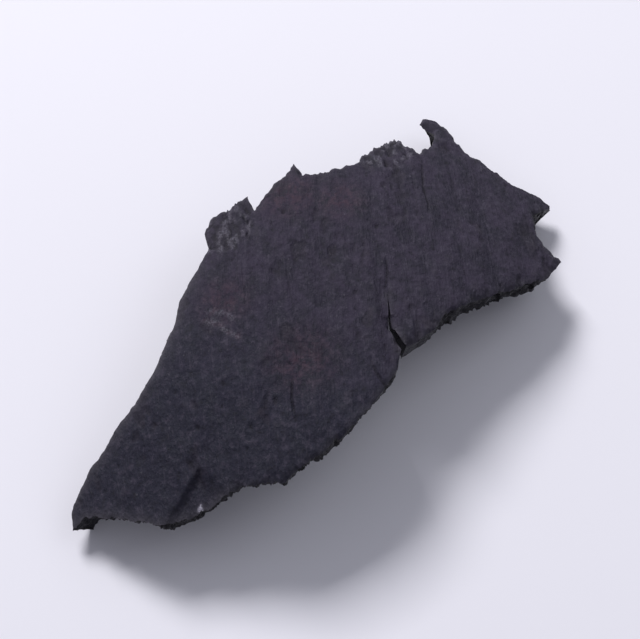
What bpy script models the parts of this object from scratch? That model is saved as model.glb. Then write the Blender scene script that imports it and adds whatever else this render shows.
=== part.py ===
"""A shard of coconut-shell charcoal, lying on the ground with its outer face up.

The shard is a broken piece of the nut's wall. Its outline is drawn on the nut's skin, in millimetres across and
along the shell's fibres. The flat piece is given the wall's thickness, bent onto the nut, and laid down on the
inner edges of its three tips.
"""
import math

import bmesh
import bpy
import numpy as np
from mathutils import Matrix, Vector, geometry, noise

MM = 0.001

# The nut that the shard broke from
NUT_RADIUS = 50.0 * MM
NUT_HALF_LENGTH = 58.0 * MM
WALL = 3.6 * MM

# The shard's corners, as (across, along) the fibres in millimetres, clockwise from its long tip.
LONG_TIP = (-28.7, -17.5)
HORN_TIP = (15.0, 26.8)
BEAK_TIP = (27.6, 14.8)
THIN_EDGE = [LONG_TIP, (-28.2, -15.5), (-25.4, -12.4), (-20.2, -7.9), (-16.8, -4.2), (-14.4, 0.2),
             (-13.6, 3.1), (-11.9, 6.0), (-10.4, 8.7)]
SPLINTERED_CORNER = [(-10.8, 11.2), (-9.9, 13.0), (-8.4, 13.5), (-6.0, 15.2), (-5.4, 13.0)]
TOP_EDGE = [(-3.6, 15.7), (-0.9, 18.9), (-0.1, 17.4), (2.2, 17.6), (5.2, 18.2)]
SPLINTERED_TOP = [(6.8, 20.1), (9.3, 22.1), (11.1, 22.7), (11.7, 21.1), (12.8, 20.7), (14.5, 21.7)]
HORN = [(15.5, 23.5), (14.2, 25.8), HORN_TIP, (16.2, 26.3), (17.2, 24.8), (18.0, 22.8), (19.0, 20.7)]
SHOULDER = [(20.9, 19.6), (22.7, 17.9), (26.3, 15.6), BEAK_TIP, (24.6, 12.9)]
RIGHT_EDGE = [(24.5, 9.7), (26.4, 6.7), (24.6, 4.4), (20.4, 2.4), (16.2, 0.5), (12.7, -1.3)]
CRACK_RIGHT_LIP = [(11.5, -3.1), (9.8, -4.3), (8.4, -5.0)]
CRACK_END = (7.1, 0.8)
CRACK_LEFT_LIP = [(7.9, -5.3), (7.4, -7.4), (6.3, -9.0)]
LOWER_EDGE = [(4.8, -10.9), (2.9, -12.9), (-1.6, -16.0), (-4.0, -17.3), (-4.9, -18.1), (-9.0, -17.9)]
CHIPPED_EDGE = [(-11.1, -18.4), (-13.2, -19.4), (-16.8, -19.9), (-18.8, -19.7), (-21.9, -18.4),
                (-25.4, -17.0), (-27.1, -16.7)]

# How far a break across the fibres stands out in splinters, in metres
CLEAN = 0.05 * MM
ROUGH = 0.25 * MM
SPLINTERY = 0.55 * MM
STRETCHES = [
    (THIN_EDGE, CLEAN), (SPLINTERED_CORNER, SPLINTERY), (TOP_EDGE, ROUGH), (SPLINTERED_TOP, SPLINTERY),
    (HORN, CLEAN), (SHOULDER, ROUGH), (RIGHT_EDGE, ROUGH), (CRACK_RIGHT_LIP, CLEAN), ([CRACK_END], 0.0),
    (CRACK_LEFT_LIP, CLEAN), (LOWER_EDGE, ROUGH), (CHIPPED_EDGE, ROUGH)]
SPLINTER_WIDTH = 1.1 * MM

# The break wanders as it goes from the outer face down to the inner one, and leans under the outer face.
BREAK_LEAN = 0.38 * MM
BREAK_DRIFT = 0.9 * MM
BREAK_DRIFT_LENGTH = 7.0 * MM
BREAK_GRAIN = 0.22 * MM
BREAK_GRAIN_LENGTH = 1.9 * MM
EDGE_ROUNDING = 0.22 * MM

# Relief of the two faces
SWELL = 0.55 * MM
SWELL_LENGTH = 15.0 * MM
RIDGE = 0.30 * MM
RIDGE_WIDTH = 2.1 * MM
RIDGE_LENGTH = 26.0 * MM
INNER_SHARE = 0.55

# A flake is missing from the outer face at the lower edge, between a crease and its far side.
CREASE = ((-13.3, -14.9), (-17.8, -19.8))
FLAKE_FAR_SIDE = ((-10.2, -18.6), (-13.3, -14.9))
FLAKE_DEPTH = 1.5 * MM
FLAKE_RUN = 2.6 * MM

# Small flats where the tips touch the ground
SEAT = 0.45 * MM
SMALLEST_EDGE = 0.04 * MM

# Mesh
EDGE_PITCH = 0.80 * MM
FACE_PITCH = 1.02 * MM
WALL_ROWS = 4
NOISE_OFFSET = Vector((31.7, 12.3, 5.1))

CHAR_COLOUR = (0.036, 0.033, 0.042, 1.0)
CHAR_ROUGHNESS = 0.82


def remove_everything():
    for thing in list(bpy.data.objects):
        bpy.data.objects.remove(thing)


def collection_named(name):
    collection = bpy.data.collections.new(name)
    bpy.context.scene.collection.children.link(collection)
    return collection


def char_material():
    material = bpy.data.materials.new("char")
    material.use_nodes = True
    shader = material.node_tree.nodes["Principled BSDF"]
    shader.inputs["Base Color"].default_value = CHAR_COLOUR
    shader.inputs["Roughness"].default_value = CHAR_ROUGHNESS
    shader.inputs["Metallic"].default_value = 0.0
    return material


def wave(place, size, seed):
    """Smooth noise from -1 to 1 over a length of size."""
    return noise.noise(place / size + NOISE_OFFSET * seed)


def on_nut(across, along, depth):
    """The point of the nut's wall below a place on its skin."""
    turn = across / NUT_RADIUS
    climb = along / NUT_HALF_LENGTH
    radius = NUT_RADIUS - depth
    half_length = NUT_HALF_LENGTH - depth
    return Vector((radius * math.cos(climb) * math.sin(turn),
                   half_length * math.sin(climb),
                   radius * math.cos(climb) * math.cos(turn)))


def splintered(place, outward, reach):
    """Moves a point of the outline along the fibres, more where the break runs across them."""
    width = Vector((place.x / SPLINTER_WIDTH, place.y / (8 * SPLINTER_WIDTH), 0.0))
    return place + Vector((0.0, outward.y * reach * noise.noise(width), 0.0))


def outline():
    """The shard's outline on the skin, counter-clockwise, in steps of about EDGE_PITCH."""
    corners = []
    for stretch, reach in STRETCHES:
        for across, along in stretch:
            corners.append((Vector((across * MM, along * MM, 0.0)), reach))
    points = []
    for (start, reach), (end, _) in zip(corners, corners[1:] + corners[:1]):
        run = end - start
        outward = Vector((-run.y, run.x, 0.0)).normalized()
        steps = max(1, round(run.length / EDGE_PITCH))
        for step in range(steps):
            points.append(splintered(start + run * (step / steps), outward, reach))
    points.reverse()
    return points


def distance_to_outline(place, points):
    nearest = math.inf
    for start, end in zip(points, points[1:] + points[:1]):
        foot, share = geometry.intersect_point_line(place, start, end)
        if share < 0.0:
            foot = start
        elif share > 1.0:
            foot = end
        nearest = min(nearest, (place - foot).length)
    return nearest


def is_inside(place, points):
    """Whether a line from the place towards +X crosses the outline an odd number of times."""
    crossings = 0
    for start, end in zip(points, points[1:] + points[:1]):
        if (start.y > place.y) != (end.y > place.y):
            share = (place.y - start.y) / (end.y - start.y)
            crossings += start.x + share * (end.x - start.x) > place.x
    return crossings % 2 == 1


def staggered_points(points):
    """Evenly spread points inside the outline, clear of its edge."""
    low = Vector((min(p.x for p in points), min(p.y for p in points), 0.0))
    high = Vector((max(p.x for p in points), max(p.y for p in points), 0.0))
    row_height = FACE_PITCH * math.sqrt(0.75)
    rows = int((high.y - low.y) / row_height) + 1
    columns = int((high.x - low.x) / FACE_PITCH) + 2
    spread = []
    for row in range(rows):
        for column in range(columns):
            place = low + Vector(((column - 0.5 * (row % 2)) * FACE_PITCH, row * row_height, 0.0))
            if is_inside(place, points) and distance_to_outline(place, points) > 0.6 * FACE_PITCH:
                spread.append(place)
    return spread


def flat_sheet(name, points):
    """A flat sheet of even triangles within the outline."""
    places = points + staggered_points(points)
    flat = [place.to_2d() for place in places]
    rim = list(range(len(points)))
    corners, _, faces, _, _, _ = geometry.delaunay_2d_cdt(flat, [], [rim], 1, 1e-9)
    mesh = bpy.data.meshes.new(name)
    mesh.from_pydata([(p.x, p.y, 0.0) for p in corners], [], faces)
    return mesh


def thickened(sheet):
    """Gives the sheet its wall, cut into rows, with the depth below the skin along -Z."""
    solidify = sheet.modifiers.new("Wall", "SOLIDIFY")
    solidify.thickness = WALL
    solidify.offset = -1.0
    solid = bpy.data.meshes.new_from_object(sheet.evaluated_get(bpy.context.evaluated_depsgraph_get()))
    sheet.modifiers.remove(solidify)
    bm = bmesh.new()
    bm.from_mesh(solid)
    bpy.data.meshes.remove(solid)
    upright = [e for e in bm.edges if abs(e.verts[0].co.z - e.verts[1].co.z) > 0.5 * WALL]
    bmesh.ops.subdivide_edges(bm, edges=upright, cuts=WALL_ROWS - 1, use_grid_fill=True)
    return bm


def beyond(place, line):
    """How far a place lies to the right of a line."""
    start = Vector((line[0][0] * MM, line[0][1] * MM))
    run = Vector((line[1][0] * MM, line[1][1] * MM)) - start
    side = Vector((-run.y, run.x)).normalized()
    return side.dot(Vector((place.x, place.y)) - start)


def flake(place):
    """Depth of the missing flake below the outer face."""
    inside = min(beyond(place, CREASE), beyond(place, FLAKE_FAR_SIDE))
    share = min(1.0, max(0.0, inside / FLAKE_RUN))
    return FLAKE_DEPTH * share * (2.0 - share)


def relief(place):
    """Height of the fibre ridges and swells of the shell at a place on it."""
    swell = SWELL * wave(place, SWELL_LENGTH, 1)
    fibre = Vector((place.x / RIDGE_WIDTH, place.y / RIDGE_LENGTH, 7.0))
    return swell + RIDGE * noise.noise(fibre)


def drifted(place, depth):
    """Where the break has wandered to at a depth, seen on the skin."""
    share = depth / WALL
    drift = Vector((wave(place, BREAK_DRIFT_LENGTH, 2), wave(place, BREAK_DRIFT_LENGTH, 3), 0.0))
    return place + drift * BREAK_DRIFT * share


def bend_onto_nut(bm):
    """Bends the flat slab onto the nut, with relief on both faces and a rough break between them."""
    bm.normal_update()
    rim = {v for v in bm.verts if any(abs(f.normal.z) < 0.5 for f in v.link_faces)}
    breaks = {}
    for v in rim:
        outward = Vector((0.0, 0.0, 0.0))
        for face in v.link_faces:
            if abs(face.normal.z) < 0.5:
                outward += face.normal * face.calc_area()
        breaks[v] = outward.normalized()
    for v in bm.verts:
        depth = -v.co.z
        share = depth / WALL
        place = Vector((v.co.x, v.co.y, 0.0))
        height = relief(place) * (1.0 + (INNER_SHARE - 1.0) * share)
        height -= flake(place) * (1.0 - share)
        spot = drifted(place, depth)
        if v in breaks:
            grain = wave(Vector((place.x, place.y, depth)), BREAK_GRAIN_LENGTH, 4)
            spot += breaks[v] * (BREAK_GRAIN * grain * math.sin(math.pi * share) - BREAK_LEAN * share)
            height -= EDGE_ROUNDING * (1.0 - 2.0 * share) if share in (0.0, 1.0) else 0.0
        v.co = on_nut(spot.x, spot.y, depth - height)


def tip_below(tip):
    """The inner edge of the wall at one of the tips."""
    place = Vector((tip[0] * MM, tip[1] * MM, 0.0))
    spot = drifted(place, WALL)
    return on_nut(spot.x, spot.y, WALL)


def level_on_tips():
    """Turns the nut so that the three tips stand on the ground and the outer face is up."""
    a, b, c = (tip_below(tip) for tip in (LONG_TIP, HORN_TIP, BEAK_TIP))
    up = (b - a).cross(c - a).normalized()
    if up.z < 0.0:
        up = -up
    return up.rotation_difference(Vector((0.0, 0.0, 1.0))).to_matrix().to_4x4()


def longest_in_plan(bm):
    """The turn about Z that lays the shard's longest extent along X, with the long tip at -X."""
    plan = np.array([(v.co.x, v.co.y) for v in bm.verts])
    headings = np.radians(np.arange(-90.0, 90.0, 0.25))
    extents = [np.ptp(plan @ (math.cos(a), math.sin(a))) for a in headings]
    return Matrix.Rotation(-float(headings[int(np.argmax(extents))]), 4, "Z")


def settle(bm):
    """Lays the shard on the ground, with its origin below the middle of its box."""
    bmesh.ops.transform(bm, matrix=level_on_tips(), verts=bm.verts)
    bmesh.ops.transform(bm, matrix=longest_in_plan(bm), verts=bm.verts)
    low = Vector([min(v.co[axis] for v in bm.verts) for axis in range(3)])
    high = Vector([max(v.co[axis] for v in bm.verts) for axis in range(3)])
    middle = (low + high) / 2
    bmesh.ops.translate(bm, vec=(-middle.x, -middle.y, -low.z - SEAT), verts=bm.verts)
    everything = bm.verts[:] + bm.edges[:] + bm.faces[:]
    cut = bmesh.ops.bisect_plane(
        bm, geom=everything, plane_co=(0.0, 0.0, 0.0), plane_no=(0.0, 0.0, -1.0), clear_outer=True)
    rims = [e for e in cut["geom_cut"] if isinstance(e, bmesh.types.BMEdge)]
    bmesh.ops.holes_fill(bm, edges=rims)
    bmesh.ops.remove_doubles(bm, verts=bm.verts, dist=SMALLEST_EDGE)


def make_shard(collection):
    mesh = flat_sheet("charcoal_shard", outline())
    shard = bpy.data.objects.new("charcoal_shard", mesh)
    collection.objects.link(shard)
    bm = thickened(shard)
    bend_onto_nut(bm)
    settle(bm)
    bmesh.ops.triangulate(bm, faces=bm.faces)
    bmesh.ops.recalc_face_normals(bm, faces=bm.faces)
    bm.to_mesh(mesh)
    bm.free()
    mesh.materials.append(char_material())
    mesh.shade_smooth()
    mesh.set_sharp_from_angle(angle=math.radians(45.0))
    return shard


def main():
    remove_everything()
    make_shard(collection_named("coconut_charcoal_shard"))


main()
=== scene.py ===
"""The looks of a shard of coconut-shell charcoal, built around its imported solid.

The shard is drawn again on the nut's skin, from nearly the same corners as its solid but with a much finer
mesh. It is bent onto the nut and laid on its tips in the same way. Its outer face then gets fibres, pits,
grooves and lost skin, its breaks get facets and splintered fibre ends, and its inner face gets veins.
"""

import math
import random

import bpy
import numpy as np
from mathutils import Matrix, Vector, geometry, noise


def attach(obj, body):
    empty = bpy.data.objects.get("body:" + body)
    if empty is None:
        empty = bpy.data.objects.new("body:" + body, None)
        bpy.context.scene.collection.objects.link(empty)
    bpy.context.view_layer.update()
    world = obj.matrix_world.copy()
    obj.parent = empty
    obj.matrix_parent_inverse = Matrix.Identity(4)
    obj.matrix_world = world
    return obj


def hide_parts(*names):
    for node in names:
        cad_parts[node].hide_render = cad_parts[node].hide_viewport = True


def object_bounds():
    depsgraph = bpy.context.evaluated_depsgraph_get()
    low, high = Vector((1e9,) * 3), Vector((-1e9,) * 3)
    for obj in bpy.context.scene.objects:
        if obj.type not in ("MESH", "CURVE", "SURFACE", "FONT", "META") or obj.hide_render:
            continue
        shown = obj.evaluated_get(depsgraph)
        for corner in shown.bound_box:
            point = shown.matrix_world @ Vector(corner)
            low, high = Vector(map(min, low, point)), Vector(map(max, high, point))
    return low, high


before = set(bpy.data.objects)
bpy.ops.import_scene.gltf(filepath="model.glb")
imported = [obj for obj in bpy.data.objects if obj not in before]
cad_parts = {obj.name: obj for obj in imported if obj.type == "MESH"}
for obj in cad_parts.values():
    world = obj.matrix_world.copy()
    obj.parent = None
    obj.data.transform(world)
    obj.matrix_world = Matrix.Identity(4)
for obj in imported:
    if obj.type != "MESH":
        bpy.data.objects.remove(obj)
CAD_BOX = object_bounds()

MM = 0.001
SHARD = "charcoal_shard"

# The nut that the shard broke from. Lengths are in millimetres, unless a comment says otherwise
NUT_RADIUS = 50.0
NUT_HALF_LENGTH = 58.0
WALL = 3.6

# Places on the nut's skin, as (across, along) the fibres. The corners of the outline run clockwise
LONG_TIP = (-28.7, -17.5)
HORN_TIP = (15.0, 26.8)
BEAK_TIP = (27.6, 14.8)
THIN_EDGE = [LONG_TIP, (-28.2, -15.5), (-25.4, -12.4), (-20.2, -7.9), (-16.8, -4.2), (-14.4, 0.2),
             (-13.6, 3.1), (-11.9, 6.0), (-10.4, 8.7)]
SPLINTERED_CORNER = [(-10.8, 11.2), (-9.9, 13.0), (-8.4, 13.5), (-6.0, 15.2), (-5.4, 13.0)]
TOP_EDGE = [(-3.6, 15.7), (-0.9, 18.9), (-0.1, 17.4), (2.2, 17.6), (5.2, 18.2)]
SPLINTERED_TOP = [(6.8, 20.1), (9.3, 22.1), (11.1, 22.7), (11.7, 21.1), (12.8, 20.5), (14.2, 21.2)]
HORN = [(15.3, 22.9), (15.4, 24.2), (14.0, 25.4), (14.6, 26.4), (16.0, 26.1), (17.3, 24.8), (18.1, 22.8),
        (19.0, 20.7)]
SHOULDER = [(20.9, 19.6), (22.7, 17.9), (26.3, 15.6), BEAK_TIP, (24.6, 12.9)]
RIGHT_EDGE = [(24.5, 9.7), (26.4, 6.7), (24.6, 4.4), (20.4, 2.4), (16.2, 0.5), (12.7, -1.3)]
CRACK_RIGHT_LIP = [(11.5, -3.1), (9.8, -4.3)]
CRACK_END = (7.1, 0.8)
CRACK_SIDES = [(8.4, -5.0), (7.2, -2.8), CRACK_END, (6.9, -2.9)]
CRACK_LEFT_LIP = [(7.9, -5.3), (7.4, -7.4), (6.3, -9.0)]
LOWER_EDGE = [(4.8, -10.9), (2.9, -12.9), (-1.6, -16.0), (-4.0, -17.3), (-4.9, -18.1), (-9.0, -17.9)]
CHIPPED_EDGE = [(-11.1, -18.4), (-13.2, -19.4), (-16.8, -19.9), (-18.8, -19.7), (-21.9, -18.4),
                (-25.4, -17.0), (-27.1, -16.7)]

# How far each stretch of the outline stands out in splinters, where it runs across the fibres
SMOOTH = 0.0
CLEAN = 0.05
ROUGH = 0.25
SPLINTERY = 0.55
STRETCHES = [
    (THIN_EDGE, CLEAN), (SPLINTERED_CORNER, SPLINTERY), (TOP_EDGE, ROUGH), (SPLINTERED_TOP, SPLINTERY),
    (HORN, CLEAN), (SHOULDER, ROUGH), (RIGHT_EDGE, ROUGH), (CRACK_RIGHT_LIP, CLEAN),
    (CRACK_SIDES, SMOOTH), (CRACK_LEFT_LIP, CLEAN), (LOWER_EDGE, ROUGH), (CHIPPED_EDGE, ROUGH)]

# Smooth noises of the outline, as layers of (height, lengths across, along and down the wall, seed)
SPLINTERS = [(1.0, (1.1, 8.8, 1.0), 0)]
FINE_SPLINTERS = [(1.0, (0.42, 2.1, 1.0), 5)]
FINE_CREST = 0.5
FINE_FALL = 3.0
FINE_SHARE = 0.55
SPLINTER_NEIGHBOURS = 4
WANDER_ACROSS = [(0.20, (1.7, 1.7, 1.7), 6), (0.08, (0.62, 0.62, 0.62), 7)]
WANDER_ALONG = [(0.20, (1.7, 1.7, 1.7), 8), (0.08, (0.62, 0.62, 0.62), 9)]
CLEAN_WANDER = 0.4

# The break between the two faces, as in the solid
BREAK_LEAN = 0.38
BREAK_DRIFT = 0.9
BREAK_DRIFT_LENGTH = 7.0
BREAK_GRAIN = 0.22
BREAK_GRAIN_LENGTH = 1.9

# The horn is cut under on its hooked side, which lies below HORN_ACROSS
HORN_MIDDLE = (14.6, 25.2)
HORN_REACH = 3.0
HORN_ACROSS = (15.4, 17.2)
HORN_STEP = (0.0, 0.5)
HORN_UNDERCUT = 2.0
UNDERCUT_EASE = 0.6

# Finer breaks: facets, layers of shell, and the square ends of fibres
FACET_SIZE = 1.25
FACET_TILT = 0.56
FACET_SCATTER = 7.3
SHELL_LAYERS = [(0.055, (3.5, 3.5, 0.26), 27), (0.03, (0.28, 0.28, 0.28), 28)]
FIBRE_END = (0.26, 40.0, 0.26)
FIBRE_END_REACH = 0.35
FIBRE_END_LEAST = 0.3
FIBRE_END_GAIN = 1.6
BREAK_FULLNESS = 0.35
BUMP_RANGE = 0.3
INNER_EDGE_REACH = (-0.12, 0.40)

# The break stands out freely where the next stretch of rim, ROOM_APART points on, is FULL_ROOM away
NARROWEST_ROOM = 0.3
FULL_ROOM = 2.0
ROOM_APART = 12
ROOM_AROUND = 9

# Relief of the two faces. The swells and ridges are as in the solid, and the flake is shallower
SWELL = 0.55
SWELL_LENGTH = 15.0
RIDGE = 0.30
RIDGE_WIDTH = 2.1
RIDGE_LENGTH = 26.0
RIDGE_LEVEL = 7.0
INNER_SHARE = 0.55
CREASE = ((-13.3, -14.9), (-17.8, -19.8))
FLAKE_FAR_SIDE = ((-10.2, -18.6), (-13.3, -14.9))
FLAKE_DEPTH = 0.5
FLAKE_RUN = 0.8
FLAKE_SLOPE = 0.10
FLAKE_FAR_EASE = 0.45

# Finer noises of the outer face, as layers like those of the outline
SKIN_WAVES = [(0.14, (3.4, 5.0, 1.0), 20)]
SKIN_GRAIN = [(0.115, (1.25, 1.6, 1.0), 18), (0.070, (0.6, 0.75, 1.0), 19), (0.040, (0.32, 0.32, 0.32), 30)]
STRAND_BENDS = [(0.55, (6.0, 9.0, 1.0), 13)]
STRANDS = [(0.034, (0.85, 7.0, 1.0), 14), (0.030, (0.42, 3.4, 1.0), 15), (0.020, (0.24, 1.5, 1.0), 16)]
LOST_SKIN = [(1.0, (2.6, 5.0, 1.0), 11), (0.45, (0.7, 1.5, 1.0), 12)]
CHIP_RIPPLES = [(0.08, (0.5, 1.6, 1.0), 22)]
UNEVEN_WEAR = [(1.0, (0.9, 0.9, 0.9), 17)]
CRUMBS = [(1.0, (1.9, 1.9, 1.9), 31)]
BITE_EDGE = [(0.15, (0.9, 0.9, 0.9), 21)]
BITE_WAVES = [(0.14, (1.3, 2.2, 1.0), 37)]
BITE_STUBS = [(1.0, (0.38, 0.95, 1.0), 35)]
BITE_HOLES = [(1.0, (0.42, 0.85, 1.0), 36)]
STROKE_EDGE = [(0.20, (0.6, 0.6, 0.6), 34)]
SPECKLES = [(1.0, (0.36, 0.36, 0.36), 33)]
RIM_HIGHLIGHT_PATCHES = [(1.0, (1.3, 1.3, 1.3), 32)]

# Where each feature of the outer face comes in, as the two ends of a smooth step
CHIP_STEP = (0.05, 0.50)
BARE_STEP = (0.40, 0.50)
CRUMB_STEP = (0.12, 0.22)
BITE_STEP = (0.12, 0.30)
STUB_STEP = (0.08, 0.26)
HOLE_STEP = (0.04, 0.24)
FLECK_STEP = (0.35, 0.60)
STROKE_STEP = (-0.4, 0.2)
PATCH_STEP = (0.0, 1.0)
PIT_STEP = (0.35, 1.15)
GROOVE_STEP = (0.2, 1.2)

# Depths at the rim, as (depth there, how far it reaches), and how firm the thin edge is against crumbling
RIM_ROUNDING = (0.15, 0.16)
RIM_WEAR = (0.16, 0.70)
RIM_CRUMBS = (0.30, 0.45)
INNER_RIM_WEAR = (0.20, 0.25)
WEAR_LEVEL = 0.5
THIN_EDGE_ACROSS = (8.0, 12.0)
THIN_EDGE_ALONG = (5.0, 9.0)
THIN_EDGE_FIRMNESS = 0.7

# The skin's thickness, and how strong fibres and grain are: more where it is lost, and less on the chip
SKIN = 0.11
STRAND_SHARE = 0.9
GRAIN_SHARE = 0.8
BARE_COARSENESS = 0.5
CHIP_SMOOTHNESS = 0.4

# The crack goes on as a hairline, and its right lip stands up over its left one
CRACK = [(8.1, -5.2), (7.0, -2.8), CRACK_END, (7.4, 5.6)]
LIP_RISE = 0.24
LIP_REACH = 1.1
LIP_SIDE_STEP = (-0.22, 0.22)
LIP_END_STEP = (0.55, 1.0)
LEFT_LIP_DROP = 0.5

# Round spots are (place, radius). In the bites the edge is broken down to stubs of fibre and holes
BITES = [((-9.2, 11.4), 4.4), ((9.0, 21.0), 4.3)]
BITE_DEPTH = 0.12
HOLE_DEPTH = 0.10
STUB_HEIGHT = 0.07
BITE_BARENESS = 0.6

# Small pits: those that the photograph shows, and others drawn at random
SEEN_PITS = [(-2.4, 11.9), (2.1, 5.3), (6.9, 9.3), (-12.9, -11.2), (-9.8, -7.2), (-7.6, -12.1)]
SEEN_PIT_SIZE = 0.27
SEEN_PIT_DEPTH = 0.20
PIT_SEED = 7
PIT_COUNT = 70
PIT_ACROSS = (-29.0, 28.0)
PIT_ALONG = (-20.0, 27.0)
PIT_SIZES = (0.09, 0.20)
PIT_DEPTHS = (0.5, 0.9)
PIT_STRETCH = 1.6

# Grooves and hairline cracks: those that the photograph shows, and others drawn at random
SEEN_GROOVES = [
    [(7.1, 0.6), (7.0, 1.8), (7.3, 3.2), (7.5, 5.6)],
    [(12.3, 9.8), (12.6, 12.2), (12.5, 15.0), (13.1, 19.3)],
    [(6.6, -11.0), (5.9, -9.3), (5.2, -7.9), (4.7, -6.2)],
    [(-3.1, -12.3), (-3.3, -9.6), (-3.0, -7.5)]]
SEEN_GROOVE_HALF_WIDTH = 0.17
SEEN_GROOVE_DEPTH = 0.22
GROOVE_SEED = 19
GROOVE_COUNT = 48
GROOVE_ACROSS = (-28.0, 27.0)
GROOVE_ALONG = (-20.0, 22.0)
GROOVE_STRIDES = (2, 7)
GROOVE_STRIDE = 1.2
GROOVE_STRAY = 0.16
GROOVE_HALF_WIDTHS = (0.10, 0.17)
GROOVE_DEPTHS = (0.04, 0.13)

# Tints of the outer face: reddish strokes and patches, painted shade that makes the long tip darker and
# bluer, and a painted glint on the chip
RUSTY_STROKES = [[(-10.5, 1.0), (-9.3, 0.7), (-8.3, 0.0)], [(-11.1, 0.2), (-9.6, -0.8), (-8.0, -2.3)]]
RUSTY_PATCHES = [((-1.9, -5.5), 5.5), ((-1.8, 14.4), 5.0), ((-9.0, 2.0), 4.0), ((3.5, 13.0), 4.0)]
STROKE_WIDTH = 0.34
RUSTINESS = 0.9
TIP_SHADE_STEP = (-14.0, 4.0)
TIP_SHADE_SLANT = 0.45
# The painted glint on the chip, as (place, radius)
FLECK_PAINTED_GLINT = ((-14.1, -19.2), 0.60)
FLECK_SPECKLE = 0.5
FLECK_RISE = 0.12

# What else the material reads of the outer face, and how strongly, with painted shade in the holes and
# painted highlights along the rim, the thin edge and the crack's right lip
FINE_RANGE = 0.15
HOLE_PAINTED_SHADE = 1.5
CHIP_BARENESS = 0.25
BITE_GLOSS = 0.12
STUB_PALENESS = 0.12
STROKE_PALENESS = 0.15
BARE_RIM = (0.30, 0.90)
RIM_PAINTED_HIGHLIGHT = (1.0, 0.30)
RIM_HIGHLIGHT_LEVEL = 0.6
THIN_EDGE_PAINTED_HIGHLIGHT = (1.5, 0.50)
LIP_PAINTED_HIGHLIGHT = 0.6
LIP_HIGHLIGHT_POWER = 4

# The inner face: a net of raised veins, its grain, and a painted highlight along its rim
VEIN_BENDS_ACROSS = [(0.9, (3.5, 3.5, 3.5), 23)]
VEIN_BENDS_ALONG = [(0.9, (3.5, 3.5, 3.5), 24)]
VEIN_MESH = (3.2, 4.6, 1.0)
VEIN_STEP = (0.02, 0.18)
VEIN_RISE = 0.11
VEIN_PALENESS = 0.5
INNER_GRAIN = [(0.025, (0.5, 0.5, 0.5), 25), (0.06, (1.8, 1.8, 1.8), 26)]
INNER_GRAIN_RANGE = 0.10
INNER_RIM_PAINTED_HIGHLIGHT = (1.0, 0.35)

# How the shard lies on the ground
PLAN_TURN = math.radians(-32.0)
SEAT = 0.45
UNEVEN_FEET = [(0.90, (1.3, 1.3, 1.3), 29)]

# Mesh
EDGE_PITCH = 0.17
OUTER_PITCH = 0.19
OUTER_MARGIN = 0.6 * OUTER_PITCH
INNER_PITCH = 0.33
INNER_MARGIN = BREAK_LEAN + 0.5 * INNER_PITCH
WALL_ROWS = 18
POINTS_AT_A_TIME = 2000
KEEP_INSIDE = 1
TOO_CLOSE = 1e-6
SHARP_ANGLE = math.radians(50.0)
NOISE_OFFSET = (31.7, 12.3, 5.1)

# What the material reads at each point of the shard
TRAITS = ("worn", "bare", "broken", "rim", "rust", "pale", "cool", "inner")

# Colours of the char, linear. A tint is (colour, range of what it follows, its shares at the range's ends)
DARK_SKIN = (0.0062, 0.0048, 0.0160, 1.0)
LIGHT_SKIN = (0.0240, 0.0182, 0.0365, 1.0)
RUSTY_SKIN = (0.0370, 0.0170, 0.0300, 1.0)
DARK_UNDER = (0.009, 0.008, 0.012, 1.0)
LIGHT_UNDER = (0.021, 0.019, 0.025, 1.0)
DARK_BREAK = (0.0035, 0.0030, 0.0055, 1.0)
LIGHT_BREAK = (0.0150, 0.0130, 0.0200, 1.0)
# Pale stubs of fibre and specks in strokes, and the painted glint on the chip
PALE_AND_GLINT = (0.29, 0.28, 0.34, 1.0)
STREAK_TINT = ((0.036, 0.031, 0.050, 1.0), (0.50, 0.80), (0.0, 0.60))
DUST_TINT = ((0.038, 0.032, 0.053, 1.0), (0.49, 0.66), (0.0, 0.70))
DARK_DUST_TINT = ((0.0030, 0.0026, 0.0085, 1.0), (0.34, 0.47), (0.70, 0.0))
# Painted shade: darker in the hollows of the relief, in pits, grooves and holes
HOLLOW_PAINTED_SHADE = ((0.0030, 0.0022, 0.0065, 1.0), (-1.0, -0.2), (0.50, 0.0))
RIDGE_TINT = ((0.044, 0.037, 0.053, 1.0), (0.1, 0.9), (0.0, 0.35))
VEIN_TINT = ((0.038, 0.035, 0.043, 1.0), (0.1, 0.6), (0.0, 0.60))

# A wash is (colour, its share where what it follows is 1)
# Painted shade, darker and bluer, over the long tip, which faces away from the light
TIP_PAINTED_SHADE_WASH = ((0.0045, 0.0060, 0.0175, 1.0), 0.75)
BARE_WASH = ((0.0100, 0.0075, 0.0165, 1.0), 0.50)
ASH_WASH = ((0.085, 0.080, 0.095, 1.0), 0.35)
# Painted highlight along the rims of both faces, the thin edge and the crack's right lip
RIM_PAINTED_HIGHLIGHT_WASH = ((0.054, 0.050, 0.064, 1.0), 0.60)

# Clouds of the char's material, over lengths across, along and down the wall, and ranges of their values
STREAKS = {"sizes": (0.22, 2.4, 0.22), "detail": 3.0, "roughness": 0.6, "distortion": 0.4}
MOTTLE = {"sizes": (2.4, 3.4, 2.4), "detail": 5.0, "roughness": 0.66}
GRAIN = {"sizes": (0.17, 0.24, 0.17), "detail": 3.0, "roughness": 0.65}
DUST = {"sizes": (0.8, 1.0, 0.8), "detail": 5.0, "roughness": 0.75}
GLINTS = {"sizes": (0.34, 0.34, 0.34), "detail": 1.0}
CRUMB_SIZES = (0.34, 0.5, 0.34)
SKIN_RANGE = (0.36, 0.64)
RUST_RANGE = (0.35, 0.70)
ASH_DUST_RANGE = (0.56, 0.70)
ASH_GRAIN_RANGE = (0.55, 0.72)
UNDER_RANGE = (0.35, 0.65)
BREAK_RANGE = (0.35, 0.70)
DOT_RANGE = (0.38, 0.62)
DOT_SHARES = (0.25, 1.75)

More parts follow.
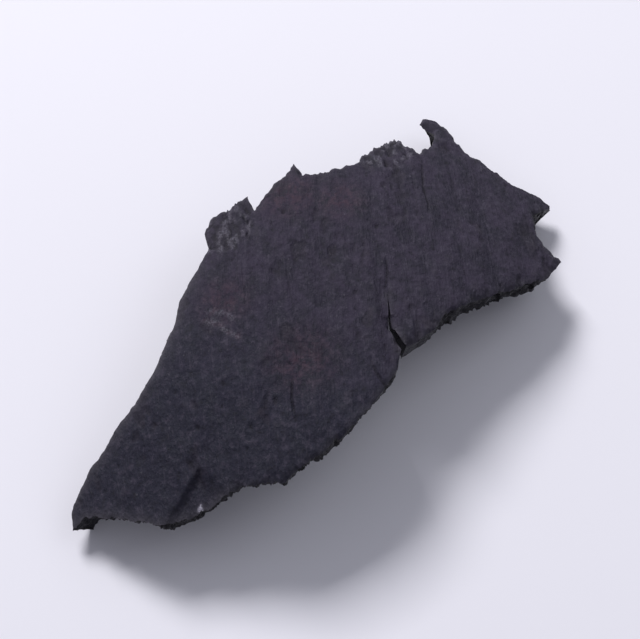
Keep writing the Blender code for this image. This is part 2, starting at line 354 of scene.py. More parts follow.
# Gloss of the char: its roughness on the skin and on the breaks, and what glints and the inner face take off
SKIN_ROUGHNESS_RANGE = (0.30, 0.70)
SKIN_ROUGHNESS = (0.72, 0.86)
BREAK_ROUGHNESS_RANGE = (0.30, 0.75)
BREAK_ROUGHNESS = (0.30, 0.58)
GLINT_RANGE = (0.66, 0.74)
GLINT_GLOSS = (0.0, 0.20)
INNER_GLOSS = 0.16
CHAR_SPECULAR = 0.36

# Bump of the char, from its grain, streaks and crumbs. The distance is in metres
GRAIN_BUMP = 0.7
STREAK_BUMP = 0.8
CRUMB_BUMP = 0.5
BUMP_STRENGTH = 0.9
BUMP_DISTANCE = 0.00015

# The pale floor, in metres
FLOOR_REACH = 2.0
FLOOR_CLOUDS = {"sizes": (0.06, 0.06, 0.06), "detail": 3.0}
FLOOR_COLOURS = ((0.79, 0.79, 0.845, 1.0), (0.82, 0.82, 0.875, 1.0))
FLOOR_ROUGHNESS = 0.9
FLOOR_SPECULAR = 0.2

# The studio: light from all around, and soft lights as (name, place, size, watts, colour), in metres
AROUND_COLOUR = (0.80, 0.80, 0.90, 1.0)
AROUND_STRENGTH = 0.36
LIGHTS = [
    ("window", (0.08, 0.46, 0.45), 0.22, 4.2, (1.0, 0.98, 1.0)),
    ("lamp", (0.45, -0.10, 0.50), 0.40, 0.5, (0.93, 0.95, 1.0))]

# The camera, by the photograph's angle, in degrees, and how much of the picture's width the shard takes
CAMERA_AZIMUTH = -36.9
CAMERA_ELEVATION = 63.5
CAMERA_LENS = 200.0
CAMERA_SENSOR = 36.0
CAMERA_NEAREST = 0.01
SHARD_SHARE = 0.76


def noise_over(points, sizes, seed):
    """Smooth noise from about -1 to 1 at points of three columns, over lengths of sizes along each."""
    scaled = points / np.array(sizes) + np.array(NOISE_OFFSET) * seed
    return np.array([noise.noise(p) for p in scaled])


def layered(points, layers):
    """The sum of layers of smooth noise at points of three columns."""
    return sum(height * noise_over(points, sizes, seed) for height, sizes, seed in layers)


def step(low, high, values):
    """0 below low and 1 above high, with a smooth rise between."""
    share = np.clip((values - low) / (high - low), 0.0, 1.0)
    return share * share * (3.0 - 2.0 * share)


def fading(clear, at_rim):
    """How much of what is at the rim, as (amount, reach), is left at a distance clear of it."""
    amount, reach = at_rim
    return amount * np.exp(-clear / reach)


def flat_places(points):
    """The points' places on the skin, with no depth."""
    return np.column_stack((points[:, 0], points[:, 1], np.zeros(len(points))))


def on_nut(places, depths):
    """The points of the nut's wall below places on its skin."""
    turn = places[:, 0] / NUT_RADIUS
    climb = places[:, 1] / NUT_HALF_LENGTH
    radius = NUT_RADIUS - depths
    half_length = NUT_HALF_LENGTH - depths
    return np.column_stack((radius * np.cos(climb) * np.sin(turn),
                            half_length * np.sin(climb),
                            radius * np.cos(climb) * np.cos(turn)))


def outline():
    """The outline in fine steps, counter-clockwise, with how splintery it is at each point."""
    corners = [(corner, reach) for stretch, reach in STRETCHES for corner in stretch]
    points, reaches = [], []
    for (start, reach), (end, _) in zip(corners, corners[1:] + corners[:1]):
        start, run = np.array(start), np.array(end) - np.array(start)
        steps = max(1, round(np.linalg.norm(run) / EDGE_PITCH))
        for share in np.arange(steps) / steps:
            points.append(start + run * share)
            reaches.append(reach)
    return np.array(points[::-1]), np.array(reaches[::-1])


def outward(points, reach=2):
    """The outline's outward direction at each point, over a few of its neighbours."""
    along = np.roll(points, -reach, axis=0) - np.roll(points, reach, axis=0)
    side = np.column_stack((along[:, 1], -along[:, 0]))
    return side / np.linalg.norm(side, axis=1)[:, None]


def splintered(points, reaches):
    """Moves the outline's points along the fibres, more where the break runs across them."""
    flat = flat_places(points)
    fine = FINE_CREST - FINE_FALL * np.abs(layered(flat, FINE_SPLINTERS))
    across_fibres = outward(points, SPLINTER_NEIGHBOURS)[:, 1]
    moved = points.copy()
    moved[:, 1] += across_fibres * reaches * (layered(flat, SPLINTERS) + FINE_SHARE * fine)
    return moved


def wandered(points, reaches):
    """Moves the outline's points a little to all sides, less where the break is clean."""
    flat = flat_places(points)
    freely = CLEAN_WANDER + (1.0 - CLEAN_WANDER) * step(CLEAN, ROUGH, reaches)
    moved = points.copy()
    moved[:, 0] += freely * layered(flat, WANDER_ACROSS)
    moved[:, 1] += freely * layered(flat, WANDER_ALONG)
    return moved


def inside_and_clear(points, rim):
    """For each point, whether the rim goes round it, and how far the rim is."""
    start, end = rim, np.roll(rim, -1, axis=0)
    run = end - start
    squared = (run ** 2).sum(axis=1)
    inside, clear = [], []
    for chunk in np.array_split(points, max(1, len(points) // POINTS_AT_A_TIME)):
        offset = chunk[:, None, :] - start
        share = np.clip((offset * run).sum(axis=2) / squared, 0.0, 1.0)
        gap = np.linalg.norm(offset - share[:, :, None] * run, axis=2)
        spans = (start[:, 1] > chunk[:, 1:]) != (end[:, 1] > chunk[:, 1:])
        rise = np.where(run[:, 1] == 0.0, 1.0, run[:, 1])
        crossing = start[:, 0] + offset[:, :, 1] / rise * run[:, 0]
        inside.append((spans & (crossing > chunk[:, :1])).sum(axis=1) % 2 == 1)
        clear.append(gap.min(axis=1))
    return np.concatenate(inside), np.concatenate(clear)


def staggered_points(rim, pitch, margin):
    """Points in staggered rows within the rim and at least a margin from it, and how far each is from it."""
    low, high = rim.min(axis=0), rim.max(axis=0)
    rows = np.arange(low[1], high[1], pitch * math.sqrt(0.75))
    columns = np.arange(low[0], high[0], pitch)
    spread = np.array([(x + 0.5 * pitch * (row % 2), y) for row, y in enumerate(rows) for x in columns])
    inside, clear = inside_and_clear(spread, rim)
    kept = inside & (clear > margin)
    return spread[kept], clear[kept]


def sheet_faces(rim, spread):
    """Triangles over the rim's points, numbered first, and the points spread within it."""
    places = [Vector(p) for p in np.vstack((rim, spread))]
    ring = list(range(len(rim)))
    _, _, faces, kept, _, _ = geometry.delaunay_2d_cdt(places, [], [ring], KEEP_INSIDE, TOO_CLOSE)
    origin = [ids[0] for ids in kept]
    return np.array([[origin[corner] for corner in face] for face in faces])


def beyond(places, line):
    """How far places lie to the right of a line."""
    start, run = np.array(line[0]), np.array(line[1]) - np.array(line[0])
    side = np.array((-run[1], run[0])) / np.linalg.norm(run)
    return (places[:, :2] - start) @ side


def flake(places):
    """Depth of the flake that is missing from the outer face: steep at the crease, then nearly level."""
    far = np.maximum(0.0, beyond(places, FLAKE_FAR_SIDE)) * FLAKE_FAR_EASE
    inside = np.maximum(0.0, np.minimum(beyond(places, CREASE), far))
    share = np.minimum(1.0, inside / FLAKE_RUN)
    return FLAKE_DEPTH * share * (2.0 - share) + FLAKE_SLOPE * inside


def relief(places):
    """Height of the shell's swells and fibre ridges."""
    flat = flat_places(places)
    swell = SWELL * noise_over(flat, (SWELL_LENGTH,) * 3, 1)
    flat[:, 2] = RIDGE_LEVEL
    return swell + RIDGE * noise_over(flat, (RIDGE_WIDTH, RIDGE_LENGTH, 1.0), 0)


def drifted(places, depths):
    """Where the break has wandered to at a depth."""
    flat = flat_places(places)
    share = depths / WALL * BREAK_DRIFT
    shift = np.column_stack((noise_over(flat, (BREAK_DRIFT_LENGTH,) * 3, 2) * share,
                             noise_over(flat, (BREAK_DRIFT_LENGTH,) * 3, 3) * share))
    return places + shift


def near_spots(places, spots):
    """How near places are to any of several round spots: 1 in the middle of one, and 0 outside them."""
    nearness = np.zeros(len(places))
    for middle, radius in spots:
        gap = np.linalg.norm(places - np.array(middle), axis=1)
        nearness = np.maximum(nearness, 1.0 - gap / radius)
    return nearness


def near_path(places, path):
    """How far places lie from a path, and how far along it their nearest point is, from 0 to 1."""
    path = np.array(path)
    runs = np.diff(path, axis=0)
    lengths = np.linalg.norm(runs, axis=1)
    gap = np.full(len(places), np.inf)
    share = np.zeros(len(places))
    passed = 0.0
    for start, run, length in zip(path, runs, lengths):
        along = np.clip(((places - start) @ run) / length ** 2, 0.0, 1.0)
        here = np.linalg.norm(places - start - along[:, None] * run, axis=1)
        nearer = here < gap
        gap = np.where(nearer, here, gap)
        share = np.where(nearer, (passed + along * length) / lengths.sum(), share)
        passed += length
    return gap, share


def pitted(places):
    """Depth of the small pits, longer along the fibres."""
    draw = random.Random(PIT_SEED)
    pits = [(place, SEEN_PIT_SIZE, SEEN_PIT_DEPTH) for place in SEEN_PITS]
    for _ in range(PIT_COUNT):
        place = (draw.uniform(*PIT_ACROSS), draw.uniform(*PIT_ALONG))
        size = draw.uniform(*PIT_SIZES)
        pits.append((place, size, size * draw.uniform(*PIT_DEPTHS)))
    depth = np.zeros(len(places))
    for place, size, deep in pits:
        gap = np.hypot((places[:, 0] - place[0]) / size, (places[:, 1] - place[1]) / (PIT_STRETCH * size))
        depth = np.maximum(depth, deep * (1.0 - step(*PIT_STEP, gap)))
    return depth


def fibre_path(draw):
    """A path that runs with the fibres and strays a little to the sides."""
    path = [np.array((draw.uniform(*GROOVE_ACROSS), draw.uniform(*GROOVE_ALONG)))]
    for _ in range(draw.randint(*GROOVE_STRIDES)):
        path.append(path[-1] + (draw.uniform(-GROOVE_STRAY, GROOVE_STRAY), GROOVE_STRIDE))
    return path


def grooved(places):
    """Depth of the grooves and hairline cracks, which taper at both ends."""
    draw = random.Random(GROOVE_SEED)
    lines = [(path, SEEN_GROOVE_HALF_WIDTH, SEEN_GROOVE_DEPTH) for path in SEEN_GROOVES]
    for _ in range(GROOVE_COUNT):
        lines.append((fibre_path(draw), draw.uniform(*GROOVE_HALF_WIDTHS), draw.uniform(*GROOVE_DEPTHS)))
    depth = np.zeros(len(places))
    for path, half_width, deep in lines:
        gap, share = near_path(places, path)
        taper = np.sqrt(np.clip(4.0 * share * (1.0 - share), 0.0, 1.0))
        depth = np.maximum(depth, deep * taper * (1.0 - step(*GROOVE_STEP, gap / half_width)))
    return depth


def fibre_strands(flat):
    """Height of the fine fibre strands, which wave a little from side to side."""
    waved = flat.copy()
    waved[:, 0] += layered(flat, STRAND_BENDS)
    return layered(waved, STRANDS)


def crumbled(flat, clear):
    """How deep the outer face has crumbled near the rim: all along it, unevenly, and in a few crumbs."""
    wear = fading(clear, RIM_WEAR) * (WEAR_LEVEL + layered(flat, UNEVEN_WEAR))
    crumbs = fading(clear, RIM_CRUMBS) * step(*CRUMB_STEP, layered(flat, CRUMBS))
    return fading(clear, RIM_ROUNDING) + wear + crumbs


def bitten(places):
    """How near places are to the bites, and how much of each is bitten, a stub of fibre, or a hole."""
    flat = flat_places(places)
    nearness = near_spots(places, BITES)
    in_bite = step(*BITE_STEP, nearness + layered(flat, BITE_EDGE))
    stubs = in_bite * step(*STUB_STEP, layered(flat, BITE_STUBS))
    holes = in_bite * step(*HOLE_STEP, layered(flat, BITE_HOLES))
    return nearness, in_bite, stubs, holes


def crack_lip(places):
    """How far places stand up beside the crack: up to 1 on its right, and a little below 0 on its left."""
    gap, share = near_path(places, CRACK)
    across, along = np.array(CRACK).T
    right = step(*LIP_SIDE_STEP, places[:, 0] - np.interp(places[:, 1], along, across))
    side = (1.0 + LEFT_LIP_DROP) * right - LEFT_LIP_DROP
    return side * np.exp(-gap / LIP_REACH) * (1.0 - step(*LIP_END_STEP, share))


def near_strokes(places):
    """How near places are to the reddish strokes, 1 on them and 0 away from them."""
    gaps = [near_path(places, path)[0] for path in RUSTY_STROKES]
    ragged = np.min(gaps, axis=0) + layered(flat_places(places), STROKE_EDGE)
    return np.exp(-(ragged / STROKE_WIDTH) ** 2)


def outer_face(places, clear):
    """Height of the outer face above the nut's skin, and what its material reads."""
    flat = flat_places(places)
    chipped = flake(places)
    chip = step(*CHIP_STEP, chipped)
    nearness, in_bite, stubs, holes = bitten(places)
    bare = step(*BARE_STEP, layered(flat, LOST_SKIN) + fading(clear, BARE_RIM) + BITE_BARENESS * nearness)
    fine = fibre_strands(flat) * (STRAND_SHARE + BARE_COARSENESS * bare)
    fine += layered(flat, SKIN_GRAIN) * (GRAIN_SHARE + BARE_COARSENESS * bare)
    fine -= pitted(places) + grooved(places)
    thin_edge = step(*THIN_EDGE_ACROSS, -places[:, 0]) * (1.0 - step(*THIN_EDGE_ALONG, places[:, 1]))
    strokes = near_strokes(places)
    speckled = layered(flat, SPECKLES)
    # The painted glint on the chip
    fleck = step(*FLECK_STEP, near_spots(places, [FLECK_PAINTED_GLINT]) + FLECK_SPECKLE * speckled)
    lip = crack_lip(places)

    height = relief(places) + layered(flat, SKIN_WAVES)
    height += fine * (1.0 - CHIP_SMOOTHNESS * chip) + chip * layered(flat, CHIP_RIPPLES)
    height -= chipped + crumbled(flat, clear) * (1.0 - THIN_EDGE_FIRMNESS * thin_edge) + SKIN * bare
    height -= in_bite * (BITE_DEPTH + layered(flat, BITE_WAVES)) + HOLE_DEPTH * holes - STUB_HEIGHT * stubs
    height += FLECK_RISE * fleck + LIP_RISE * lip

    # Painted highlights along the rim, on the thin edge and on the crack's right lip
    rim_highlight = fading(clear, RIM_PAINTED_HIGHLIGHT) * (RIM_HIGHLIGHT_LEVEL + layered(flat, RIM_HIGHLIGHT_PATCHES))
    edge_highlight = thin_edge * fading(clear, THIN_EDGE_PAINTED_HIGHLIGHT) + LIP_PAINTED_HIGHLIGHT * np.maximum(0.0, lip) ** LIP_HIGHLIGHT_POWER
    rusty = step(*PATCH_STEP, near_spots(places, RUSTY_PATCHES))
    pale_strokes = STROKE_PALENESS * strokes * step(*STROKE_STEP, speckled)
    traits = {
        # The fine relief: the colour paints shade where it is low, most in the holes, and is paler where it
        # is high
        "worn": np.clip(fine / FINE_RANGE + stubs - HOLE_PAINTED_SHADE * holes, -1.0, 1.0),
        "bare": np.maximum(bare, CHIP_BARENESS * chip),
        "broken": BITE_GLOSS * in_bite,
        # Painted highlights along the rims
        "rim": np.maximum(rim_highlight, edge_highlight),
        "rust": RUSTINESS * np.maximum(rusty, strokes),
        # Pale stubs and strokes, and the painted glint on the chip
        "pale": np.maximum(np.maximum(fleck, STUB_PALENESS * stubs), pale_strokes),
        # Painted shade over the long tip
        "cool": 1.0 - step(*TIP_SHADE_STEP, places[:, 1] + TIP_SHADE_SLANT * places[:, 0])}
    return height, traits


def inner_face(places, clear):
    """Height of the inner face towards the skin, with the raised net of veins that lay on the kernel."""
    flat = flat_places(places)
    warped = flat.copy()
    warped[:, 0] += layered(flat, VEIN_BENDS_ACROSS)
    warped[:, 1] += layered(flat, VEIN_BENDS_ALONG)
    gaps = np.array([noise.voronoi(p)[0][:2] for p in warped / np.array(VEIN_MESH)])
    veins = 1.0 - step(*VEIN_STEP, gaps[:, 1] - gaps[:, 0])
    grain = layered(flat, INNER_GRAIN)
    height = relief(places) * INNER_SHARE - VEIN_RISE * veins + grain + fading(clear, INNER_RIM_WEAR)
    traits = {
        "worn": np.clip(VEIN_PALENESS * veins - grain / INNER_GRAIN_RANGE, -1.0, 1.0),
        # Painted highlight along the inner face's rim
        "rim": fading(clear, INNER_RIM_PAINTED_HIGHLIGHT),
        "inner": np.ones(len(places))}
    return height, traits


def facets(points):
    """Height of small broken facets, each a plane of its own tilt."""
    heights = np.empty(len(points))
    for index, point in enumerate(points / FACET_SIZE):
        site = noise.voronoi(point)[1][0]
        tilt = noise.cell_vector(site * FACET_SCATTER) - Vector((0.5, 0.5, 0.5))
        heights[index] = (Vector(point) - site).dot(tilt)
    return heights * FACET_SIZE * FACET_TILT


def room(rim):
    """How freely the break can stand out at each point: less where another stretch of the rim is near."""
    count = len(rim)
    apart = np.abs(np.arange(count)[:, None] - np.arange(count))
    apart = np.minimum(apart, count - apart)
    gaps = np.linalg.norm(rim[:, None, :] - rim, axis=2)
    gaps[apart < ROOM_APART] = np.inf
    nearest = gaps.min(axis=1)
    shifts = range(-ROOM_AROUND, ROOM_AROUND + 1)
    around = np.array([np.roll(nearest, shift) for shift in shifts]).min(axis=0)
    return step(NARROWEST_ROOM, FULL_ROOM, around)


def horn_undercut(rim):
    """How far the rim's inner edge is shifted from its outer one at the horn's hook."""
    near = step(*HORN_STEP, near_spots(rim, [(HORN_MIDDLE, HORN_REACH)]))
    return np.outer(near * (1.0 - step(*HORN_ACROSS, rim[:, 0])), (HORN_UNDERCUT, 0.0))


class Break:
    """The break around the shard, from its outer face's rim down to its inner one's."""

    def __init__(self, rim, reaches):
        self.rim = rim
        self.reaches = reaches
        self.side = outward(rim)
        self.freedom = room(rim)
        self.undercut = horn_undercut(rim)

    def bump(self, share):
        """How far the break stands out at a share of the wall's depth, before its lean."""
        points = np.column_stack((self.rim, np.full(len(self.rim), share * WALL)))
        grain = BREAK_GRAIN * noise_over(points, (BREAK_GRAIN_LENGTH,) * 3, 4)
        ends = np.array([noise.cell(p) for p in points / np.array(FIBRE_END)]) - 0.5
        ends *= np.abs(self.side[:, 1]) * (FIBRE_END_LEAST + FIBRE_END_GAIN * self.reaches) * FIBRE_END_REACH
        return (grain + facets(points) + ends + layered(points, SHELL_LAYERS)) * self.freedom

    def shift(self, bump, share):
        """How far the break is from below the outer rim at a share of the wall's depth, on the skin."""
        return self.side * (bump - BREAK_LEAN * share)[:, None] + self.undercut * share ** UNDERCUT_EASE

    def inner_edge(self):
        """The same for the inner face's rim, where the break ends."""
        return self.shift(np.clip(self.bump(1.0), *INNER_EDGE_REACH), 1.0)

    def ring(self, share, top, bottom):
        """The break's points at a share of the wall's depth, their places on the skin, and their traits."""
        depth = np.full(len(self.rim), share * WALL)
        bump = self.bump(share) * math.sin(math.pi * share) ** BREAK_FULLNESS
        spot = drifted(self.rim, depth) + self.shift(bump, share)
        raised = top * (1.0 - share) + bottom * share
        traits = {"broken": np.ones(len(spot)), "worn": np.clip(bump / BUMP_RANGE, -1.0, 1.0)}
        return on_nut(spot, depth - raised), np.column_stack((spot, depth)), traits


def inner_spread(rim):
    """Points of the inner face, clear of the break's lean and the horn's undercut, and their distances."""
    inner, clear = staggered_points(rim, INNER_PITCH, INNER_MARGIN)
    apart = near_spots(inner, [(HORN_MIDDLE, HORN_REACH + HORN_UNDERCUT)]) == 0.0
    return inner[apart], clear[apart]


def quads_between(lower, upper, count):
    """Triangles between two rings of points, given by the numbers of their first ones."""
    here = np.arange(count)
    ahead = (here + 1) % count
    one = np.column_stack((lower + here, lower + ahead, upper + ahead))
    other = np.column_stack((lower + here, upper + ahead, upper + here))
    return np.vstack((one, other))


def joined(groups):
    """The points, the places on the skin and the traits of all groups of points."""
    points = np.vstack([spots for spots, _, _ in groups])
    skins = np.vstack([places for _, places, _ in groups])
    traits = {}
    for name in TRAITS:
        traits[name] = np.concatenate([read.get(name, np.zeros(len(spots))) for spots, _, read in groups])
    return points, skins, traits


def shard_parts():
    """The shard's triangles, its points in millimetres on the nut, their places on the skin and traits."""
    drawn, reaches = outline()
    rim = wandered(splintered(drawn, reaches), reaches)
    count = len(rim)
    at_rim = np.zeros(count)
    outer, outer_clear = staggered_points(rim, OUTER_PITCH, OUTER_MARGIN)
    inner, inner_clear = inner_spread(rim)

    over = np.vstack((rim, outer))
    top, over_traits = outer_face(over, np.concatenate((at_rim, outer_clear)))
    under = np.vstack((rim, inner))
    bottom, under_traits = inner_face(under, np.concatenate((at_rim, inner_clear)))
    broken = Break(rim, reaches)
    wall = np.full(len(under), WALL)
    base = drifted(under, wall)
    base[:count] += broken.inner_edge()

    groups = [(on_nut(over, -top), flat_places(over), over_traits)]
    for row in range(1, WALL_ROWS):
        groups.append(broken.ring(row / WALL_ROWS, top[:count], bottom[:count]))
    groups.append((on_nut(base, WALL - bottom), np.column_stack((base, wall)), under_traits))

    starts = [0] + [len(over) + row * count for row in range(WALL_ROWS)]
    outer_faces = sheet_faces(rim, outer)
    walls = [quads_between(below, above, count) for above, below in zip(starts, starts[1:])]
    inner_faces = sheet_faces(rim, inner)[:, ::-1] + starts[-1]
    return np.vstack([outer_faces] + walls + [inner_faces]), *joined(groups)


def level():
    """How the nut is turned so that the shard's three tips stand on the ground, and where those tips are."""
    tips = np.array((LONG_TIP, HORN_TIP, BEAK_TIP))
    depths = np.full(len(tips), WALL)
    feet = on_nut(drifted(tips, depths), depths)
    up = Vector(np.cross(feet[1] - feet[0], feet[2] - feet[0])).normalized()
    if up.z < 0.0:
        up = -up
    upright = up.rotation_difference(Vector((0.0, 0.0, 1.0))).to_matrix()
    return np.array(Matrix.Rotation(PLAN_TURN, 3, "Z") @ upright), feet


def laid_down(points):
    """The nut's points on the ground, in metres, within the solid's box."""
    turn, feet = level()
    low, high = np.array(CAD_BOX[0]), np.array(CAD_BOX[1])
    laid = points @ turn.T
    ground = (feet @ turn.T)[:, 2].mean() + SEAT
    middle = (laid.min(axis=0) + laid.max(axis=0)) / 2
    laid -= (middle[0], middle[1], ground)
    laid *= MM
    share = (high - low) / (laid.max(axis=0) - np.array((laid[:, 0].min(), laid[:, 1].min(), 0.0)))
    laid *= np.minimum(1.0, share)
    uneven = np.maximum(0.0, layered(laid / MM, UNEVEN_FEET)) * MM
    laid[:, 2] = np.maximum(laid[:, 2], uneven)
    return laid


def make_shard():
    triangles, points, skins, traits = shard_parts()
    mesh = bpy.data.meshes.new("shard")
    mesh.from_pydata(laid_down(points).tolist(), [], triangles.tolist())
    place = mesh.attributes.new("place", "FLOAT_VECTOR", "POINT")
    place.data.foreach_set("vector", skins.astype(np.float32).ravel())
    for name, values in traits.items():
        trait = mesh.attributes.new(name, "FLOAT", "POINT")
        trait.data.foreach_set("value", values.astype(np.float32))
    mesh.shade_smooth()
    mesh.set_sharp_from_angle(angle=SHARP_ANGLE)
    shard = bpy.data.objects.new("shard", mesh)
    bpy.context.scene.collection.objects.link(shard)
    mesh.materials.append(char_material())
    return shard


class Shading:
    """A material's nodes, made a few at a time."""

    def __init__(self, name):
        self.material = bpy.data.materials.new(name)
        self.material.use_nodes = True
        self.tree = self.material.node_tree
        self.shader = self.tree.nodes["Principled BSDF"]

    def add(self, kind, settings=(), **inputs):
        node = self.tree.nodes.new(kind)
        for name, value in dict(settings).items():
            setattr(node, name, value)
        for name, value in inputs.items():
            self.feed(node.inputs[name.replace("_", " ")], value)
        return node

    def feed(self, socket, value):
        if isinstance(value, bpy.types.NodeSocket):
            self.tree.links.new(value, socket)
        else:
            socket.default_value = value

    def read(self, name, output="Fac"):
        """A trait of the shard, or its place, at the shaded point."""
        return self.add("ShaderNodeAttribute", {"attribute_name": name}).outputs[output]

    def number(self, operation, first, second=0.0, clamp=False):
        node = self.add("ShaderNodeMath", {"operation": operation, "use_clamp": clamp})
        self.feed(node.inputs[0], first)
        self.feed(node.inputs[1], second)
        return node.outputs[0]

    def stretched(self, place, sizes):
        """The place in units of sizes along each direction."""
        node = self.add("ShaderNodeVectorMath", {"operation": "DIVIDE"})
        self.feed(node.inputs[0], place)
        self.feed(node.inputs[1], sizes)
        return node.outputs[0]

    def clouds(self, place, sizes, detail, roughness=0.5, distortion=0.0):
        node = self.add("ShaderNodeTexNoise", Vector=self.stretched(place, sizes), Scale=1.0, Detail=detail,
                        Roughness=roughness, Distortion=distortion)
        return node.outputs["Fac"]

    def between(self, value, values, shares=(0.0, 1.0)):
        """A value's share between two values, or a number between the two shares given for them."""
        low, high = values
        to_low, to_high = shares
        node = self.add("ShaderNodeMapRange", {"interpolation_type": "SMOOTHSTEP"}, Value=value,
                        From_Min=low, From_Max=high, To_Min=to_low, To_Max=to_high)
        return node.outputs["Result"]

    def mixed(self, share, first, second, kind="RGBA"):
        node = self.add("ShaderNodeMix", {"data_type": kind}, Factor=share, A=first, B=second)
        return node.outputs["Result"]

    def tinted(self, colour, value, tint):
        """A colour with a tint over it, as strong as a value says."""
        over, values, shares = tint
        return self.mixed(self.between(value, values, shares), colour, over)

    def washed(self, colour, value, wash):
        """A colour with a wash over it, as strong as a value says."""
        over, share = wash
        return self.mixed(self.number("MULTIPLY", value, share, clamp=True), colour, over)


def skin_colour(char, clouds):
    """Dusty black, with reddish tints and ash in specks, painted shade in hollows and over the long tip,
    paler on ridges, and painted highlights along rims.
    """
    mottle, streaks, grain, dust = clouds
    worn = char.read("worn")
    skin = char.mixed(char.between(mottle, SKIN_RANGE), DARK_SKIN, LIGHT_SKIN)
    # Painted shade over the long tip
    skin = char.washed(skin, char.read("cool"), TIP_PAINTED_SHADE_WASH)
    skin = char.tinted(skin, streaks, STREAK_TINT)
    skin = char.tinted(skin, dust, DUST_TINT)
    skin = char.tinted(skin, dust, DARK_DUST_TINT)
    reddish = char.number("MULTIPLY", char.read("rust"), char.between(dust, RUST_RANGE), clamp=True)
    skin = char.mixed(reddish, skin, RUSTY_SKIN)
    skin = char.washed(skin, char.read("bare"), BARE_WASH)
    ash = char.number("MULTIPLY", char.between(dust, ASH_DUST_RANGE), char.between(grain, ASH_GRAIN_RANGE))
    skin = char.washed(skin, ash, ASH_WASH)
    # Painted shade in the hollows of the relief, then paler ridge tops
    skin = char.tinted(skin, worn, HOLLOW_PAINTED_SHADE)
    skin = char.tinted(skin, worn, RIDGE_TINT)
    # Painted highlights along the rims
    return char.washed(skin, char.read("rim"), RIM_PAINTED_HIGHLIGHT_WASH)


def char_colour(char, clouds):
    """The skin's colour, the inner face's, the breaks', and pale specks with the painted glint on the chip,
    each where it belongs.
    """
    mottle, _, grain, _ = clouds
    under = char.mixed(char.between(mottle, UNDER_RANGE), DARK_UNDER, LIGHT_UNDER)
    under = char.tinted(under, char.read("worn"), VEIN_TINT)
    fracture = char.mixed(char.between(grain, BREAK_RANGE), DARK_BREAK, LIGHT_BREAK)
    colour = char.mixed(char.read("inner"), skin_colour(char, clouds), under)
    colour = char.mixed(char.read("broken"), colour, fracture)
    dots = char.between(grain, DOT_RANGE, DOT_SHARES)
    # Pale stubs and strokes, and the painted glint on the chip
    return char.mixed(char.number("MULTIPLY", char.read("pale"), dots, clamp=True), colour, PALE_AND_GLINT)


def char_roughness(char, place, clouds):
    """Dull on the skin but for a few glints, smoother on the inner face, and glossier on the breaks."""
    mottle, _, grain, _ = clouds
    sheen = char.between(grain, BREAK_ROUGHNESS_RANGE, BREAK_ROUGHNESS)
    roughness = char.between(mottle, SKIN_ROUGHNESS_RANGE, SKIN_ROUGHNESS)
    glints = char.between(char.clouds(place, **GLINTS), GLINT_RANGE, GLINT_GLOSS)
    roughness = char.number("SUBTRACT", roughness, glints)
    roughness = char.number("SUBTRACT", roughness, char.number("MULTIPLY", char.read("inner"), INNER_GLOSS))
    return char.mixed(char.read("broken"), roughness, sheen, "FLOAT")


def char_bump(char, place, clouds):
    """Grain, streaks and crumbs that are too fine for the mesh."""
    _, streaks, grain, _ = clouds
    crumbs = char.add("ShaderNodeTexVoronoi", Vector=char.stretched(place, CRUMB_SIZES), Scale=1.0)
    parts = [(grain, GRAIN_BUMP), (streaks, STREAK_BUMP), (crumbs.outputs["Distance"], CRUMB_BUMP)]
    height = 0.0
    for value, share in parts:
        height = char.number("ADD", height, char.number("MULTIPLY", value, share))
    bump = char.add("ShaderNodeBump", Strength=BUMP_STRENGTH, Distance=BUMP_DISTANCE, Height=height)
    return bump.outputs["Normal"]


def char_material():
    char = Shading("char")
    place = char.read("place", "Vector")
    clouds = [char.clouds(place, **settings) for settings in (MOTTLE, STREAKS, GRAIN, DUST)]
    char.feed(char.shader.inputs["Base Color"], char_colour(char, clouds))
    char.feed(char.shader.inputs["Roughness"], char_roughness(char, place, clouds))
    char.feed(char.shader.inputs["Normal"], char_bump(char, place, clouds))
    char.shader.inputs["Metallic"].default_value = 0.0
    char.shader.inputs["Specular IOR Level"].default_value = CHAR_SPECULAR
    return char.material


def floor_material():
    floor = Shading("floor")
    coordinates = floor.add("ShaderNodeTexCoord").outputs["Object"]
    colour = floor.mixed(floor.clouds(coordinates, **FLOOR_CLOUDS), *FLOOR_COLOURS)
    floor.feed(floor.shader.inputs["Base Color"], colour)
    floor.shader.inputs["Roughness"].default_value = FLOOR_ROUGHNESS
    floor.shader.inputs["Specular IOR Level"].default_value = FLOOR_SPECULAR
    return floor.material


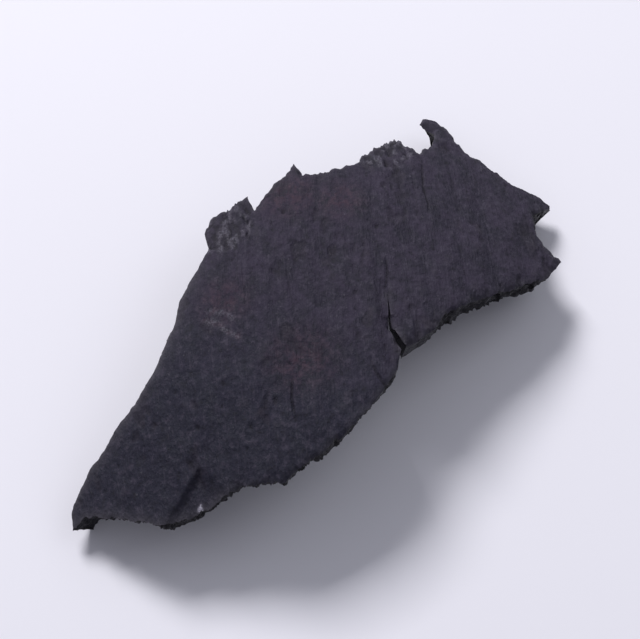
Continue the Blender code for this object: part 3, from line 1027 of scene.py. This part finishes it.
def make_floor():
    mesh = bpy.data.meshes.new("floor")
    corners = [(-FLOOR_REACH, -FLOOR_REACH, 0.0), (FLOOR_REACH, -FLOOR_REACH, 0.0),
               (FLOOR_REACH, FLOOR_REACH, 0.0), (-FLOOR_REACH, FLOOR_REACH, 0.0)]
    mesh.from_pydata(corners, [], [(0, 1, 2, 3)])
    floor = bpy.data.objects.new("floor", mesh)
    bpy.context.scene.collection.objects.link(floor)
    mesh.materials.append(floor_material())
    return floor


def aimed(thing, place, target):
    """Puts a light or camera at a place, turned towards a target."""
    thing.location = place
    thing.rotation_mode = "QUATERNION"
    thing.rotation_quaternion = (Vector(target) - Vector(place)).to_track_quat("-Z", "Y")
    bpy.context.scene.collection.objects.link(thing)


def make_lights():
    world = bpy.data.worlds.new("studio")
    world.use_nodes = True
    world.node_tree.nodes["Background"].inputs["Color"].default_value = AROUND_COLOUR
    world.node_tree.nodes["Background"].inputs["Strength"].default_value = AROUND_STRENGTH
    bpy.context.scene.world = world
    for name, place, size, energy, colour in LIGHTS:
        light = bpy.data.lights.new(name, "AREA")
        light.shape = "SQUARE"
        light.size = size
        light.energy = energy
        light.color = colour
        aimed(bpy.data.objects.new(name, light), place, (0.0, 0.0, 0.0))


def camera_back():
    """The direction from the shard to the camera."""
    azimuth, elevation = math.radians(CAMERA_AZIMUTH), math.radians(CAMERA_ELEVATION)
    return Vector((math.sin(azimuth) * math.cos(elevation),
                   -math.cos(azimuth) * math.cos(elevation),
                   math.sin(elevation)))


def make_camera(shard):
    """The photograph's viewing angle through a long lens, with the shard in the middle of the picture."""
    back = camera_back()
    turn = (-back).to_track_quat("-Z", "Y").to_matrix()
    seen = np.array([v.co for v in shard.data.vertices]) @ np.array(turn)
    low, high = seen.min(axis=0), seen.max(axis=0)
    target = turn @ Vector((low + high) / 2)
    width = (high[0] - low[0]) / SHARD_SHARE
    camera = bpy.data.cameras.new("camera")
    camera.lens = CAMERA_LENS
    camera.sensor_width = CAMERA_SENSOR
    camera.clip_start = CAMERA_NEAREST
    eye = bpy.data.objects.new("camera", camera)
    aimed(eye, target + back * (width * CAMERA_LENS / CAMERA_SENSOR), target)
    bpy.context.scene.camera = eye


shard = make_shard()
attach(shard, "root")
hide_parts(SHARD)
floor = make_floor()
make_lights()
make_camera(shard)
bpy.context.scene.view_settings.view_transform = "Standard"
